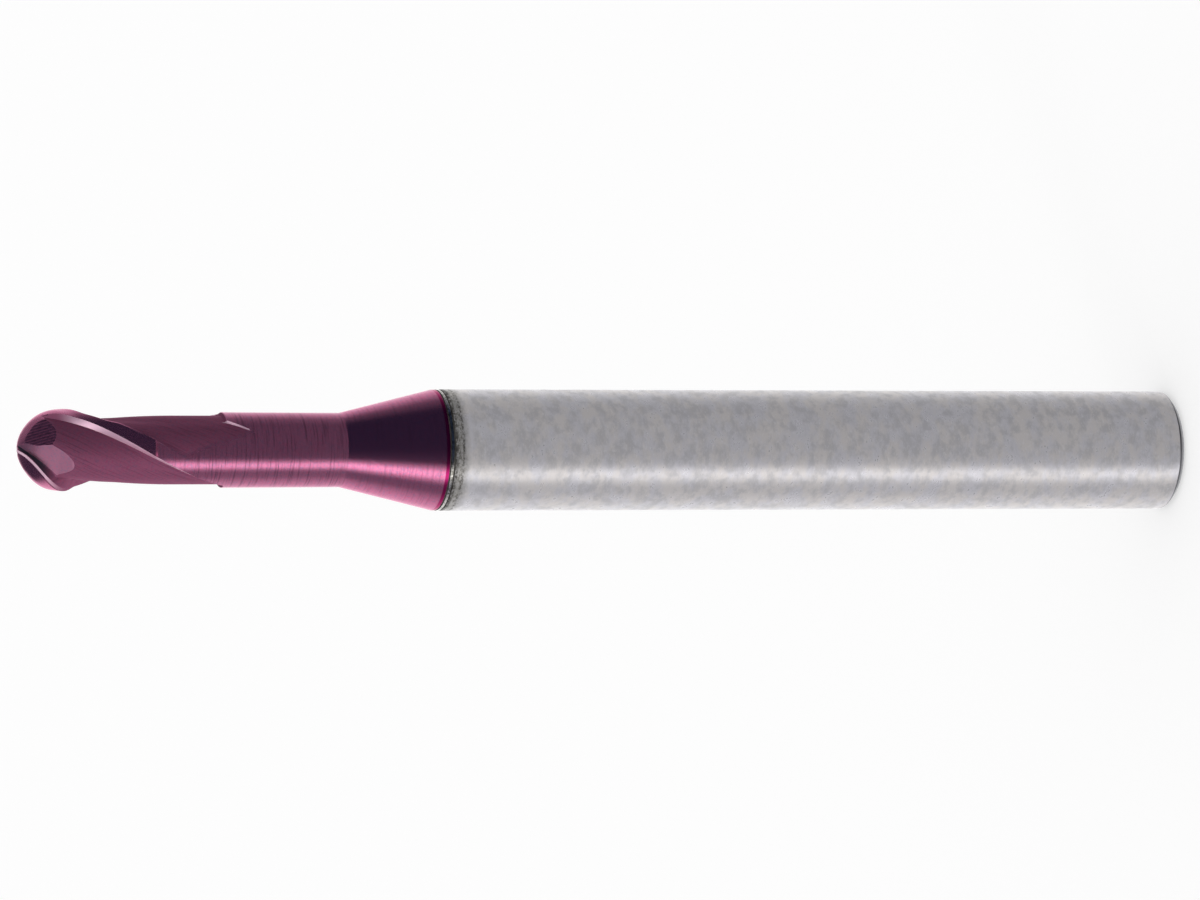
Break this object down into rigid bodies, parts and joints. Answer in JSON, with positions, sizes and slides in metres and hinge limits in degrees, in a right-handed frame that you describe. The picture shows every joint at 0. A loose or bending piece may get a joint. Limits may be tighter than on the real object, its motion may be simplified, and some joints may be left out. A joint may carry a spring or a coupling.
{
  "type": "ball-nose end mill",
  "caption": "Slim ball-nose end mill: coated helical-fluted carbide head with relieved neck and cone, brazed to a plain round steel shank.",
  "frame": {"origin": "centre of the shank's rear end face, with the tool standing upright on it", "axes": "+Z along the tool axis from the shank end to the tip of the ball; +X is 60 degrees ahead of where a straight helix would start"},
  "size_m": [0.006, 0.006, 0.06],
  "materials": {
    "coated_carbide": "satin violet hard coating over ground carbide",
    "braze": "dull, flux-stained silver braze",
    "copper_core": "bright metal rim, wetted with silver braze",
    "ground_steel": "matte ground grey with faint mottling"
  },
  "bodies": {
    "root": {"cutting_head": "coated_carbide", "front_braze_layer": "braze", "copper_shim": "copper_core", "rear_braze_layer": "braze", "shank": "ground_steel"}
  },
  "joints": []
}
